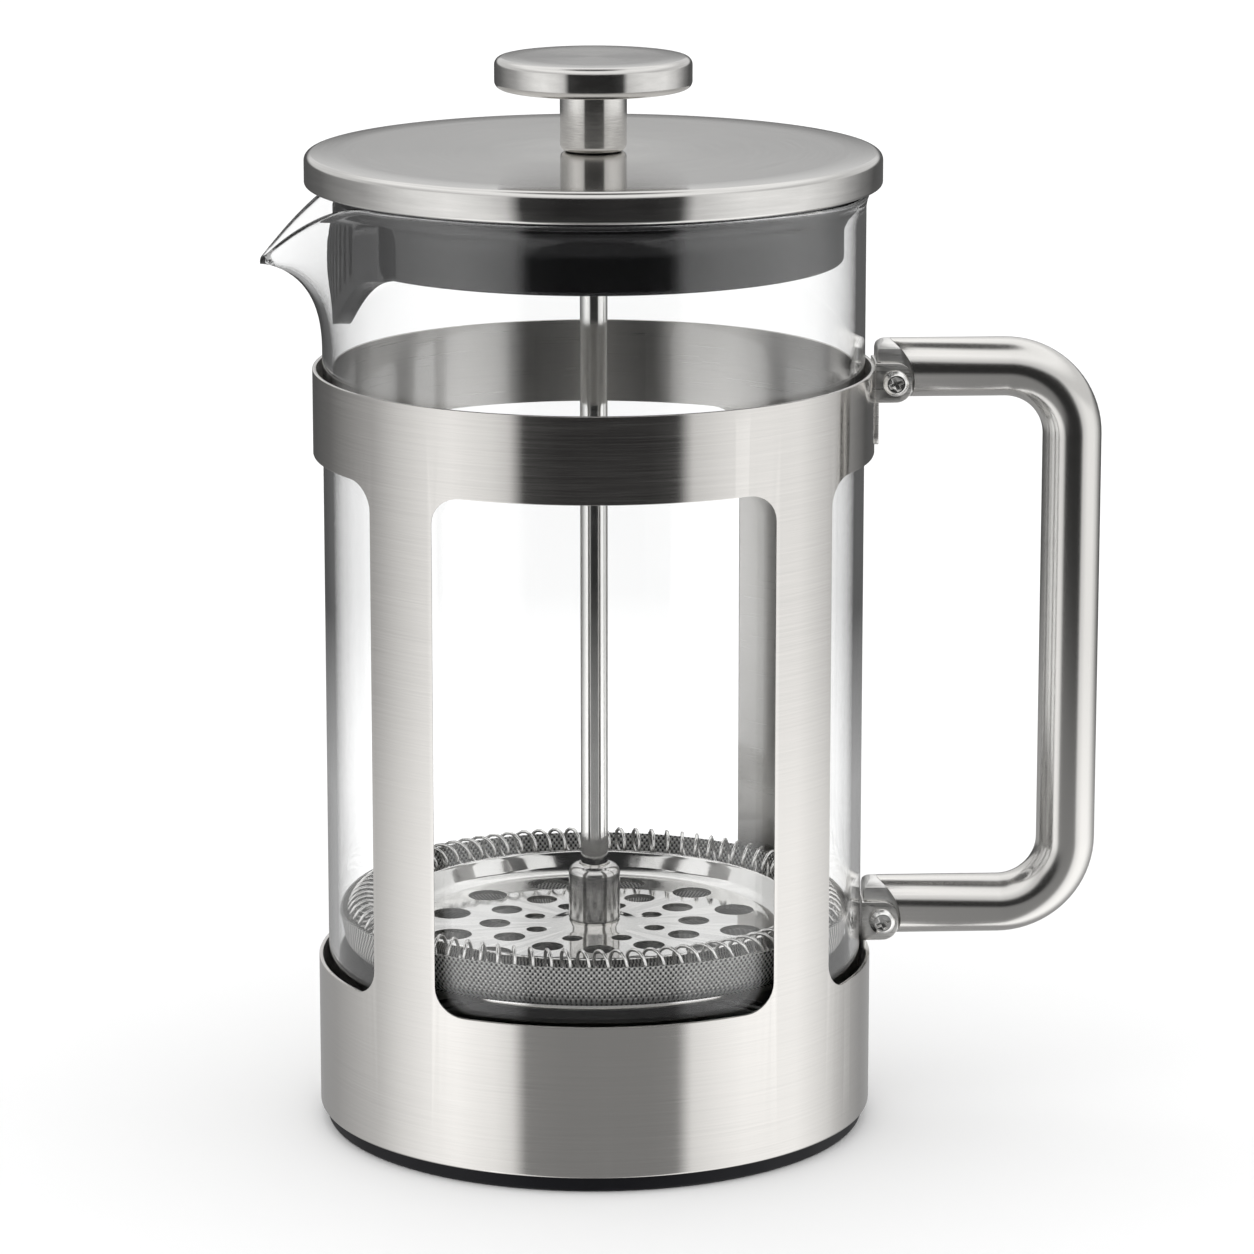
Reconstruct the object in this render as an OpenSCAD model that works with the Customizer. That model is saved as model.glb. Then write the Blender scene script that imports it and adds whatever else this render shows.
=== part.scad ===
// French press: glass beaker in a steel cage, bent tube handle, lid with strainer, plunger with filter.
// Frame: beaker axis on Z, resting face at z = 0, handle towards +X, spout towards -X.

/* [Beaker] */
// Outer diameter of the glass
glass_d = 98.6; // [80:0.2:120]
// Thickness of the glass wall
glass_wall = 1.75; // [1.4:0.05:2.4]
// Thickness of the glass floor
glass_floor = 2.5; // [2:0.1:4]
// Height of the glass from its floor to its rim
glass_h = 167.5; // [135:0.5:205]
// Outer radius between the floor and the wall
glass_corner_r = 6; // [4:0.5:9]
// How far the spout tip stands out from the wall
spout_reach = 11; // [7:0.5:14]
// How far the spout tip lies below the rim
spout_drop = 12.6; // [9:0.1:15]

/* [Frame] */
// Radial gap between the glass and the steel
frame_gap = 1.1; // [1.1:0.1:3]
// Thickness of the frame sheet
frame_sheet = 0.7; // [0.6:0.1:1.2]
// Height of the base band
band_h = 28.1; // [24:0.1:34]
// Width of each window
window_w = 60.6; // [44:0.2:64]
// Radius of the window corners
window_r = 5; // [2:0.5:8]
// Height of the collar above the windows
collar_h = 15.7; // [15:0.1:20]
// Depth of the collar's top below the glass rim
collar_drop = 32.9; // [30:0.1:50]
// Width of the flange turned in under the base band
flange_w = 6.4; // [4:0.1:8]

/* [Foot] */
// Height of the foot under the steel
foot_h = 2.9; // [2:0.1:5]
// How far the foot stands back from the steel
foot_inset = 1.3; // [0.8:0.1:3]
// Thickness of the soft pad under the glass
pad_t = 1.5; // [1:0.1:3]

/* [Handle] */
// Outer diameter of the handle tube
tube_d = 10.8; // [9:0.1:12]
// Wall of the handle tube
tube_wall = 1.4; // [1:0.1:1.8]
// Reach of the handle's centre line from the steel
handle_reach = 36.5; // [32:0.5:48]
// Bend radius of the handle's centre line
handle_bend_r = 12.6; // [10:0.1:18]
// Height of the upper run above the window top
upper_run_above = 14.9; // [14:0.1:16]
// Height of the lower run above the base band
lower_run_above = 8; // [8:0.1:14]
// Thickness of the flat tang on each end
tang_t = 7.2; // [6:0.1:8]
// Sheet thickness of the brackets
bracket_sheet = 0.8; // [0.5:0.1:0.8]
// Height of the bracket ears
ear_h = 7.3; // [6.6:0.1:8]
// Reach of the bracket ears
ear_reach = 6.6; // [6:0.1:8]
// How far the ears sit below the handle's centre line
ear_drop = 2.2; // [1.8:0.1:2.6]
// Length of the bracket strap below the ears
strap_h = 8.1; // [6:0.1:8.5]
// Shank diameter of the handle screws
screw_d = 3; // [2.5:0.5:3.5]
// Head diameter of the handle screws
screw_head_d = 4.7; // [4.5:0.1:5.6]

/* [Lid] */
// How far the lid stands out past the glass
lid_over = 2.9; // [2.4:0.1:4]
// Height of the lid shell
lid_h = 5.7; // [5.4:0.1:9]
// Thickness of the lid sheet
lid_sheet = 0.8; // [0.6:0.1:0.9]
// Gap between the glass and the lid skirt
skirt_gap = 2.25; // [1.6:0.05:4]
// Wall of the lid skirt
skirt_wall = 1.8; // [1.4:0.1:2.4]
// Depth of the lid skirt below the rim
skirt_h = 12.8; // [10:0.1:15]
// Depth of the strainer tongue below the skirt
tongue_h = 12.2; // [9:0.1:14]
// Number of slots in the strainer
slot_count = 13; // [7:2:15]
// Width of a strainer slot
slot_w = 1.2; // [0.8:0.1:1.4]

/* [Plunger] */
// Diameter of the plunger rod
rod_d = 5; // [4:0.5:6]
// Diameter of the knob
knob_d = 35.7; // [30:0.1:44]
// Thickness of the knob
knob_t = 5.7; // [5:0.1:9]
// Diameter of the stem under the knob
stem_d = 12.1; // [11:0.1:14]
// Height of the stem under the knob
stem_h = 11.3; // [9:0.1:16]
// Height of the filter's rim above the glass floor, plunger down
filter_lift = 32; // [28:0.5:40]
// Gap between the filter screen and the glass
filter_gap = 0.35; // [0.3:0.05:0.8]
// Coil diameter of the rim spring
coil_d = 7; // [5:0.1:8.4]
// Diameter of the hub on the filter
hub_d = 9.5; // [9:0.1:12]
// Height of the hub
hub_h = 10.6; // [9:0.1:14]

/* [Hidden] */
$fn = 96;

// Clearances
fit = 0.05;
seat_gap = 0.05;
eps = 0.01;
body_gap = 0.3;
cut = 1;
far = 200;

// Heights from the table up
steel_z = foot_h;
window_z = steel_z + band_h;
foot_lip_h = 1.4;
foot_lip_w = 0.8;
foot_chamfer = 0.8;
pad_lip_h = 2.4;
pad_lip_lap = 0.4;
pad_z = steel_z + frame_sheet + foot_lip_h;
glass_z = pad_z + pad_t;
rim_z = glass_z + glass_h;
frame_top_z = rim_z - collar_drop;
collar_z = frame_top_z - collar_h;
window_h = collar_z - window_z;

// Radii of the glass and the steel
glass_r = glass_d / 2;
bore_r = glass_r - glass_wall;
frame_in_r = glass_r + frame_gap;
frame_r = frame_in_r + frame_sheet;
flange_hole_r = frame_r - frame_sheet - flange_w;

// Spout: a cone with its apex on the wall, cut by a sloping plane
spout_apex_x = glass_r - glass_wall / 2;
spout_rise = 11.4;
spout_root_angle = 35;
spout_tip_x = glass_r + spout_reach;
spout_tip_z = rim_z - spout_drop;
spout_root_x = glass_r * cos(spout_root_angle);
spout_slope = (spout_tip_x - spout_apex_x) / (spout_rise + glass_wall);
spout_apex_z = spout_tip_z - (spout_tip_x - spout_apex_x) / spout_slope;
spout_wall_z = glass_wall / sin(atan(spout_slope));
bead_r = 1.15;

// Handle and brackets
upper_z = collar_z + upper_run_above;
lower_z = window_z + lower_run_above;
handle_x = frame_r + handle_reach;
upper_back = frame_r;
lower_back = frame_in_r - bracket_sheet;
screw_x = 3.6;
ear_corner_r = 2.9;
tang_corner_r = 2.4;
clevis_gap = tang_t + 2 * fit;
clevis_w = clevis_gap + 2 * bracket_sheet;
end_cut_back = 2;
end_cut_gap = 0.4;
end_cut_r = ear_reach + end_cut_gap + end_cut_back;
strap_r = 1.5;
strap_inset = 1;
tube_start = 4;
tang_gap = 0.1;
tang_root = 3;
tang_lap = 1;
spigot_len = 12;
head_h = 1.5;
head_bevel = 0.7;
recess_w = 0.8;
recess_l = 2.6;
recess_h = 1;
recess_turn = 25;

// Lid
lid_r = glass_r + lid_over;
lid_seat_h = 0.55;
lid_z = rim_z + seat_gap + lid_seat_h;
lid_top_z = lid_z + lid_h;
lid_shoulder_r = 1.4;
lip_w = 0.7;
lid_rest_t = 1.4;
lid_rest_gap = 1.2;
lid_under_z = lid_top_z - lid_sheet;
deck_t = 2.2;
deck_inset = 2.2;
bush_r = 4;
bush_flange_r = 6;
bush_flange_t = 1;
bush_h = 7.8;
skirt_r = bore_r - skirt_gap;
skirt_z = rim_z - skirt_h;
skirt_edge = 0.5;
seat_r = bore_r - 0.35;
flare_top = 2.5;
flare_foot = 5;
strainer_r = bore_r - 0.45;
strainer_window_lap = 2;
strainer_window_depth = 12;
strainer_lap = 0.6;
tongue_z = skirt_z - tongue_h;
tongue_half_w = 28;
tongue_tip_half_w = 9;
slot_pitch = 2.5;
slot_foot = 3.2;
slot_head = 3;
slot_depth = 20;

// Plunger
rod_r = rod_d / 2;
stem_z = lid_top_z + seat_gap;
knob_z = stem_z + stem_h;
knob_top_z = knob_z + knob_t;
spigot_r = 3.6;
spigot_h = 2.8;
socket_floor = 0.5;
rod_end_gap = 0.1;
stem_edge_r = 1.2;
knob_edge_flat = 1.4;
knob_edge_r = knob_t / 2 - knob_edge_flat;
filter_rim_z = glass_z + glass_floor + filter_lift;
filter_r = bore_r - filter_gap;
plate_t = 0.8;
plate_drop = 5.5;
plate_z = filter_rim_z - plate_drop;
plate_flat_r = 0.6886 * filter_r;
plate_rim_r = 0.7966 * filter_r;
plate_rim_h = 4.6;
boss_r = 8.5;
boss_h = 0.8;
boss_edge = 0.6;
plate_bend_w = 1.6;
plate_bend_h = 1.2;
plate_bend_t = 0.7;
plate_skew = 0.2;
// Rings of holes: count, radius as a share of the filter's, diameter, turn
hole_rings = [[12, 0.582, 7.4, 15], [12, 0.392, 5.8, 0], [8, 0.25, 3.8, 22.5]];
screen_t = 0.5;
screen_drop = 7.8;
screen_z = filter_rim_z - screen_drop;
screen_flare = 0.9;
screen_skew = 0.2;
screen_corner = 3.6;
cross_t = 0.9;
cross_w = 7;
cross_boss_r = 11;
spoke_w = 8;
spoke_inset = 2;
cross_over = 0.6;
cross_z = screen_z - cross_t;
hub_z = plate_z + plate_t + boss_h;
hub_dome_r = 1.6;
hub_floor = 3;
stud_r = 2;
nut_h = 3.2;
nut_af_r = 4.1;
coil_wall = 0.65;
coil_gap = 0.6;
coil_drop = 1.3;
coil_major_r = filter_r - screen_t - coil_gap - coil_d / 2;
coil_z = filter_rim_z - coil_drop;

module ring(r_in, r_out, z, h) {
    translate([0, 0, z]) difference() {
        cylinder(r = r_out, h = h);
        translate([0, 0, -cut]) cylinder(r = r_in, h = h + 2 * cut);
    }
}

module rounded_rect(w, h, r) {
    square([w, h - 2 * r], center = true);
    square([w - 2 * r, h], center = true);
    for (x = [-1, 1], y = [-1, 1])
        translate([x * (w / 2 - r), y * (h / 2 - r)]) circle(r = r);
}

// Lays a drawing of (x, z) on the XZ plane, centred on y, w thick
module side_plate(w) {
    translate([0, w / 2, 0]) rotate([90, 0, 0]) linear_extrude(w) children();
}

// ---- foot and pad ----

module foot() {
    foot_r = frame_r - foot_inset;
    color("#1c1c1c") union() {
        cylinder(r1 = foot_r - foot_chamfer, r2 = foot_r, h = foot_chamfer);
        translate([0, 0, foot_chamfer]) cylinder(r = foot_r, h = foot_h - foot_chamfer);
        cylinder(r = flange_hole_r - fit, h = pad_z);
        translate([0, 0, steel_z + frame_sheet + fit])
            cylinder(r = flange_hole_r + foot_lip_w, h = foot_lip_h - fit);
    }
}

module seat_pad() {
    pad_r = frame_in_r - body_gap;
    color("#2b2b2b") union() {
        translate([0, 0, pad_z]) cylinder(r = pad_r, h = pad_t);
        ring(glass_r - pad_lip_lap, pad_r, glass_z - eps, pad_lip_h);
    }
}

// ---- steel cage ----

module window_cut() {
    translate([0, 0, window_z + window_h / 2]) rotate([90, 0, 0])
        linear_extrude(4 * frame_r, center = true) rounded_rect(window_w, window_h, window_r);
}

module frame() {
    color("#c8c8c6") difference() {
        union() {
            ring(frame_in_r, frame_r, steel_z, frame_top_z - steel_z);
            ring(flange_hole_r, frame_r - frame_sheet / 2, steel_z, frame_sheet);
        }
        window_cut();
        rotate([0, 0, 90]) window_cut();
    }
}

// ---- handle ----

// U of sheet: a web and strap curved to the steel, and an ear on each side of the tang
module bracket(back_r, run_z) {
    mid_z = run_z - ear_drop;
    bottom_z = mid_z - ear_h / 2;
    strap_w = clevis_w - 2 * strap_inset;
    difference() {
        union() {
            intersection() {
                translate([0, 0, bottom_z - strap_h])
                    cylinder(r = back_r + bracket_sheet, h = ear_h + strap_h);
                translate([0, 0, bottom_z - strap_h]) rotate([90, 0, 90]) linear_extrude(far) {
                    translate([-clevis_w / 2, strap_h]) square([clevis_w, ear_h]);
                    translate([-strap_w / 2, strap_r]) square([strap_w, strap_h]);
                    for (s = [-1, 1])
                        translate([s * (strap_w / 2 - strap_r), strap_r]) circle(r = strap_r);
                    translate([strap_r - strap_w / 2, 0]) square([strap_w - 2 * strap_r, strap_r]);
                }
            }
            for (s = [-1, 1])
                translate([0, s * (clevis_gap + bracket_sheet) / 2, 0]) side_plate(bracket_sheet) {
                    translate([back_r - cut, bottom_z]) square([ear_reach - ear_corner_r + cut, ear_h]);
                    translate([back_r, bottom_z + ear_corner_r])
                        square([ear_reach, ear_h - 2 * ear_corner_r]);
                    for (z = [bottom_z + ear_corner_r, bottom_z + ear_h - ear_corner_r])
                        translate([back_r + ear_reach - ear_corner_r, z]) circle(r = ear_corner_r);
                }
        }
        translate([0, 0, bottom_z - strap_h - cut]) cylinder(r = back_r, h = ear_h + strap_h + 2 * cut);
        screw_hole(back_r, run_z);
    }
}

module screw_hole(back_r, run_z) {
    translate([back_r + screw_x, 0, run_z - ear_drop]) rotate([90, 0, 0])
        cylinder(r = screw_d / 2 + fit, h = 4 * tube_d, center = true);
}

module upper_bracket() {
    color("#c2c2c0") bracket(upper_back, upper_z);
}

module lower_bracket() {
    color("#c2c2c0") bracket(lower_back, lower_z);
}

// The round pocket that each end of the tube is cut back to
module end_cut(back_r, run_z, clear) {
    translate([back_r - end_cut_back, 0, run_z - ear_drop]) rotate([90, 0, 0])
        cylinder(r = end_cut_r + clear, h = 4 * tube_d, center = true);
    translate([back_r - end_cut_back - far, -far / 2, run_z - far / 2])
        cube([far, far, far]);
}

module handle_path(r) {
    run_top = handle_x - handle_bend_r;
    for (z = [upper_z, lower_z])
        translate([frame_in_r - tube_start, 0, z]) rotate([0, 90, 0])
            cylinder(r = r, h = run_top - frame_in_r + tube_start);
    translate([handle_x, 0, lower_z + handle_bend_r])
        cylinder(r = r, h = upper_z - lower_z - 2 * handle_bend_r);
    translate([run_top, 0, upper_z - handle_bend_r]) rotate([90, 0, 0])
        rotate_extrude(angle = 90) translate([handle_bend_r, 0]) circle(r = r);
    translate([run_top, 0, lower_z + handle_bend_r]) rotate([90, 0, 0]) rotate([0, 0, -90])
        rotate_extrude(angle = 90) translate([handle_bend_r, 0]) circle(r = r);
}

module handle_tube() {
    color("#b9b9b6") difference() {
        handle_path(tube_d / 2);
        handle_path(tube_d / 2 - tube_wall);
        end_cut(upper_back, upper_z, 0);
        end_cut(lower_back, lower_z, 0);
    }
}

// Flat tang notched over the bracket's web, with a round spigot inside the tube
module tang(back_r, run_z) {
    top_z = run_z + tube_d / 2;
    bottom_z = run_z - tube_d / 2;
    notch_z = run_z - ear_drop + ear_h / 2 + tang_gap;
    start_x = back_r + body_gap;
    web_x = back_r + bracket_sheet + fit;
    end_x = back_r + ear_reach + tang_lap;
    difference() {
        union() {
            intersection() {
                translate([back_r, 0, run_z]) rotate([0, 90, 0])
                    cylinder(r = tube_d / 2, h = ear_reach + tang_lap);
                side_plate(tang_t) {
                    translate([start_x + tang_corner_r, notch_z])
                        square([end_x - start_x - tang_corner_r, top_z - notch_z]);
                    translate([start_x, notch_z]) square([tang_corner_r, top_z - tang_corner_r - notch_z]);
                    intersection() {
                        translate([start_x + tang_corner_r, top_z - tang_corner_r]) circle(r = tang_corner_r);
                        translate([start_x, notch_z]) square([2 * tang_corner_r, top_z - notch_z]);
                    }
                    translate([web_x, bottom_z]) square([end_x - web_x, notch_z - bottom_z + eps]);
                }
                end_cut(back_r, run_z, -fit);
            }
            translate([back_r + tang_root, 0, run_z]) rotate([0, 90, 0])
                intersection() {
                    cylinder(r = tube_d / 2 - tube_wall - fit, h = spigot_len);
                    cube([far, tang_t, far], center = true);
                }
        }
        screw_hole(back_r, run_z);
    }
}

module upper_tang() {
    color("#a9a9a7") tang(upper_back, upper_z);
}

module lower_tang() {
    color("#a9a9a7") tang(lower_back, lower_z);
}

// Pan-head screw with a cross recess, threaded into the far ear
module handle_screw() {
    head_r = screw_head_d / 2;
    difference() {
        union() {
            cylinder(r = head_r, h = head_h - head_bevel);
            translate([0, 0, head_h - head_bevel])
                cylinder(r1 = head_r, r2 = head_r - head_bevel, h = head_bevel);
            translate([0, 0, -clevis_w]) cylinder(r = screw_d / 2, h = clevis_w + eps);
        }
        for (a = [recess_turn, recess_turn + 90])
            rotate([0, 0, a]) translate([0, 0, head_h])
                cube([recess_l, recess_w, 2 * recess_h], center = true);
    }
}

module handle_screws() {
    color("#d5d5d3") for (p = [[upper_back, upper_z], [lower_back, lower_z]])
        translate([p[0] + screw_x, -clevis_w / 2, p[1] - ear_drop]) rotate([90, 0, 0]) handle_screw();
}

// ---- beaker ----

module cup_profile(r, floor_z, top_z, corner_r) {
    translate([0, floor_z]) square([r - corner_r, top_z - floor_z]);
    translate([0, floor_z + corner_r]) square([r, top_z - floor_z - corner_r]);
    intersection() {
        translate([r - corner_r, floor_z + corner_r]) circle(r = corner_r);
        translate([0, floor_z]) square([r, corner_r]);
    }
}

module spout_cone(apex_z) {
    height = rim_z + bead_r - apex_z;
    translate([-spout_apex_x, 0, apex_z]) cylinder(r1 = 0, r2 = height * spout_slope, h = height);
}

module beaker() {
    plane_rise = spout_drop / (spout_tip_x - spout_root_x);
    color("#dfe9ec", 0.4) difference() {
        union() {
            rotate_extrude() {
                cup_profile(glass_r, glass_z, rim_z - bead_r, glass_corner_r);
                translate([glass_r - glass_wall + bead_r, rim_z - bead_r]) circle(r = bead_r);
            }
            intersection() {
                spout_cone(spout_apex_z);
                translate([0, 0, spout_apex_z]) ring(bore_r, 2 * glass_r, 0, glass_h);
            }
        }
        rotate_extrude()
            cup_profile(bore_r, glass_z + glass_floor, rim_z + cut, glass_corner_r - glass_wall);
        spout_cone(spout_apex_z + spout_wall_z);
        side_plate(4 * glass_r) polygon([
            [-spout_root_x, rim_z],
            [-spout_root_x, rim_z + 3 * bead_r],
            [-2 * glass_r, rim_z + 3 * bead_r],
            [-2 * glass_r, rim_z - (2 * glass_r - spout_root_x) * plane_rise]
        ]);
    }
}

// ---- lid ----

module rod_bush() {
    color("#262626") difference() {
        union() {
            translate([0, 0, lid_top_z - bush_h]) cylinder(r = bush_r, h = bush_h);
            translate([0, 0, lid_under_z - fit - bush_flange_t])
                cylinder(r = bush_flange_r, h = bush_flange_t);
        }
        translate([0, 0, lid_top_z - bush_h - cut]) cylinder(r = rod_r + fit, h = bush_h + 2 * cut);
    }
}

module lid_shell() {
    in_r = lid_r - lid_sheet;
    in_shoulder_r = lid_shoulder_r - lid_sheet;
    color("#c9c9c8") rotate_extrude() difference() {
        union() {
            translate([0, lid_z]) square([lid_r, lid_h - lid_shoulder_r]);
            translate([0, lid_z]) square([lid_r - lid_shoulder_r, lid_h]);
            translate([lid_r - lid_shoulder_r, lid_top_z - lid_shoulder_r]) circle(r = lid_shoulder_r);
        }
        translate([0, lid_z + lip_w]) square([in_r, lid_h - lip_w - lid_shoulder_r]);
        translate([0, lid_z + lip_w]) square([in_r - in_shoulder_r, lid_h - lip_w - lid_sheet]);
        translate([lid_r - lid_shoulder_r, lid_top_z - lid_shoulder_r]) circle(r = in_shoulder_r);
        translate([0, lid_z - cut]) square([in_r - lip_w, lip_w + 2 * cut]);
        translate([0, lid_z - cut]) square([bush_r + fit, lid_h + 2 * cut]);
    }
}

// Outline of the tongue seen from the spout, as (y, z)
module tongue_outline() {
    translate([-tongue_half_w, skirt_z]) square([2 * tongue_half_w, skirt_h]);
    polygon([
        [-tongue_half_w, skirt_z + skirt_edge], [-tongue_tip_half_w, tongue_z],
        [tongue_tip_half_w, tongue_z], [tongue_half_w, skirt_z + skirt_edge]
    ]);
}

module strainer() {
    slope = tongue_h / (tongue_half_w - tongue_tip_half_w);
    slot_top_z = rim_z - slot_head;
    difference() {
        intersection() {
            ring(skirt_r - strainer_lap, strainer_r, tongue_z, rim_z - tongue_z);
            translate([-far, 0, 0]) rotate([90, 0, 90]) linear_extrude(far) tongue_outline();
        }
        for (i = [-(slot_count - 1) / 2 : (slot_count - 1) / 2]) {
            y = i * slot_pitch;
            foot_z = max(tongue_z, skirt_z - (tongue_half_w - abs(y)) * slope) + slot_foot;
            translate([-strainer_r - cut, y - slot_w / 2, foot_z])
                cube([slot_depth, slot_w, slot_top_z - foot_z]);
        }
    }
}

module lid_liner() {
    in_r = lid_r - lid_sheet;
    deck_z = lid_under_z - deck_t;
    seat_z = rim_z + seat_gap;
    flange_z = lid_z + lip_w + fit;
    window_half_w = tongue_half_w - strainer_window_lap;
    color("#202020") union() {
        difference() {
            rotate_extrude() difference() {
                union() {
                    translate([0, deck_z]) square([in_r - deck_inset, deck_t - fit]);
                    translate([0, seat_z])
                        square([in_r - lip_w - fit, lid_under_z - fit - seat_z - lid_rest_gap]);
                    translate([0, flange_z]) square([in_r - fit, lid_rest_t]);
                    polygon([
                        [0, skirt_z], [skirt_r - skirt_edge, skirt_z], [skirt_r, skirt_z + skirt_edge],
                        [skirt_r, rim_z - flare_foot], [seat_r, rim_z - flare_top],
                        [seat_r, seat_z + eps], [0, seat_z + eps]
                    ]);
                }
                translate([0, skirt_z - cut]) square([skirt_r - skirt_wall, deck_z - skirt_z + cut]);
                translate([0, deck_z - cut]) square([bush_r + fit, deck_t + 2 * cut]);
                translate([0, lid_under_z - 2 * fit - bush_flange_t])
                    square([bush_flange_r + fit, bush_flange_t + cut]);
            }
            // the skirt gives way to the strainer behind the spout
            translate([-far, -window_half_w, skirt_z - cut])
                cube([
                    far - skirt_r + strainer_window_depth, 2 * window_half_w,
                    skirt_h - strainer_window_lap + cut
                ]);
        }
        strainer();
    }
}

// ---- plunger ----

module plunger_rod() {
    bottom_z = hub_z + hub_floor;
    color("#d8d8d6") translate([0, 0, bottom_z])
        cylinder(r = rod_r, h = knob_z + spigot_h - socket_floor - rod_end_gap - bottom_z);
}

module knob_stem() {
    edge_r = stem_edge_r;
    color("#c4c4c1") difference() {
        rotate_extrude() {
            translate([0, stem_z + edge_r]) square([stem_d / 2, stem_h - edge_r]);
            translate([0, stem_z]) square([stem_d / 2 - edge_r, edge_r]);
            translate([stem_d / 2 - edge_r, stem_z + edge_r]) circle(r = edge_r);
            translate([0, knob_z]) square([spigot_r, spigot_h]);
        }
        translate([0, 0, stem_z - cut]) cylinder(r = rod_r + fit, h = stem_h + spigot_h - socket_floor + cut);
    }
}

module knob_cap() {
    edge_r = knob_edge_r;
    color("#c9c9c7") difference() {
        rotate_extrude() {
            translate([0, knob_z]) square([knob_d / 2 - edge_r, knob_t]);
            translate([0, knob_z + edge_r]) square([knob_d / 2, knob_t - 2 * edge_r]);
            for (z = [knob_z + edge_r, knob_top_z - edge_r])
                translate([knob_d / 2 - edge_r, z]) circle(r = edge_r);
        }
        translate([0, 0, knob_z - cut]) cylinder(r = spigot_r + fit, h = spigot_h + fit + cut);
    }
}

// ---- filter ----

module hub() {
    stud_h = hub_z - cross_z + nut_h;
    color("#cfcfcd") difference() {
        union() {
            rotate_extrude() {
                translate([0, hub_z]) square([hub_d / 2, hub_h - hub_dome_r]);
                translate([0, hub_z]) square([hub_d / 2 - hub_dome_r, hub_h]);
                translate([hub_d / 2 - hub_dome_r, hub_z + hub_h - hub_dome_r]) circle(r = hub_dome_r);
            }
            translate([0, 0, hub_z - stud_h]) cylinder(r = stud_r, h = stud_h + eps);
        }
        translate([0, 0, hub_z + hub_floor - fit]) cylinder(r = rod_r + fit, h = hub_h);
    }
}

module hole_ring(count, radius, d, turn) {
    for (i = [0 : count - 1])
        rotate([0, 0, turn + i * 360 / count]) translate([radius, 0, plate_z - cut])
            cylinder(r = d / 2, h = plate_t + 2 * cut);
}

module top_plate() {
    color("#d2d2d0") difference() {
        rotate_extrude() polygon([
            [stud_r + fit, plate_z + boss_h], [hub_d / 2 - boss_edge, plate_z + boss_h], [boss_r, plate_z],
            [plate_flat_r, plate_z], [plate_rim_r - plate_bend_w, plate_z + plate_bend_h],
            [plate_rim_r, plate_z + plate_rim_h], [plate_rim_r - plate_t, plate_z + plate_rim_h],
            [plate_rim_r - plate_bend_w - plate_bend_t, plate_z + plate_t + plate_bend_h],
            [plate_flat_r - plate_skew, plate_z + plate_t], [boss_r + plate_skew, plate_z + plate_t],
            [hub_d / 2 - boss_edge, plate_z + plate_t + boss_h], [stud_r + fit, plate_z + plate_t + boss_h]
        ]);
        for (h = hole_rings)
            hole_ring(h[0], h[1] * filter_r, h[2], h[3]);
    }
}

// The rim spring as the tube that its coils fill
module coil_ring() {
    color("#bdbdbb") translate([0, 0, coil_z]) rotate_extrude() translate([coil_major_r, 0]) difference() {
        circle(r = coil_d / 2);
        circle(r = coil_d / 2 - coil_wall);
    }
}

module mesh_screen() {
    floor_r = filter_r - screen_corner;
    wall_r = filter_r - screen_flare;
    color("#8f8f8d") rotate_extrude() {
        translate([stud_r + fit, screen_z]) square([floor_r - stud_r - fit, screen_t]);
        polygon([
            [floor_r - eps, screen_z], [wall_r, screen_z + screen_corner],
            [filter_r, filter_rim_z], [filter_r - screen_t, filter_rim_z],
            [wall_r - screen_t, screen_z + screen_corner + screen_skew],
            [floor_r - screen_skew, screen_z + screen_t], [floor_r - screen_skew, screen_z + screen_t / 2]
        ]);
    }
}

module cross_plate() {
    out_r = filter_r - screen_corner + cross_over;
    color("#cacac8") difference() {
        union() {
            ring(out_r - cross_w, out_r, cross_z, cross_t - eps);
            translate([0, 0, cross_z]) cylinder(r = cross_boss_r, h = cross_t - eps);
            for (a = [0, 90])
                rotate([0, 0, a]) translate([0, 0, cross_z + (cross_t - eps) / 2])
                    cube([2 * (out_r - spoke_inset), spoke_w, cross_t - eps], center = true);
        }
        translate([0, 0, cross_z - cut]) cylinder(r = stud_r + fit, h = cross_t + 2 * cut);
    }
}

module filter_nut() {
    color("#c6c6c4") difference() {
        translate([0, 0, cross_z - nut_h]) cylinder(r = nut_af_r, h = nut_h, $fn = 6);
        translate([0, 0, cross_z - nut_h - cut]) cylinder(r = stud_r + fit, h = nut_h + 2 * cut);
    }
}

foot();
seat_pad();
frame();
upper_bracket();
lower_bracket();
handle_tube();
upper_tang();
lower_tang();
handle_screws();
beaker();
rod_bush();
lid_shell();
lid_liner();
knob_cap();
knob_stem();
plunger_rod();
hub();
top_plate();
coil_ring();
mesh_screen();
cross_plate();
filter_nut();
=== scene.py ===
import math
import bpy
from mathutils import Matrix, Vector


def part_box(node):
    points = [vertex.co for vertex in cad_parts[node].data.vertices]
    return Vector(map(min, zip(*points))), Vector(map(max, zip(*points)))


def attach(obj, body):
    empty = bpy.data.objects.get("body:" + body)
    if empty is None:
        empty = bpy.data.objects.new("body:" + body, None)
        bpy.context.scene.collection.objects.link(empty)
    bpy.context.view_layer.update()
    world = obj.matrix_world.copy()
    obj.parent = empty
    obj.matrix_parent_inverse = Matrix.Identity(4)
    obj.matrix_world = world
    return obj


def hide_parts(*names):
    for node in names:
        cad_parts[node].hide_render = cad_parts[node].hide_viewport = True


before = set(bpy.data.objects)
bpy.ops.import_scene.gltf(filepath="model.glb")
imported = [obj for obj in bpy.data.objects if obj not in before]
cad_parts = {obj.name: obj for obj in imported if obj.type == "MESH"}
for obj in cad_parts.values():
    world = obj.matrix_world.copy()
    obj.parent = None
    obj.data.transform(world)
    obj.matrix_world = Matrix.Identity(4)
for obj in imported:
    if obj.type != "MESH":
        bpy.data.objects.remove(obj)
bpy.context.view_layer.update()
mm = 0.001
tinyGap = 0.001 * mm   # points closer than this are one point


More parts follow.
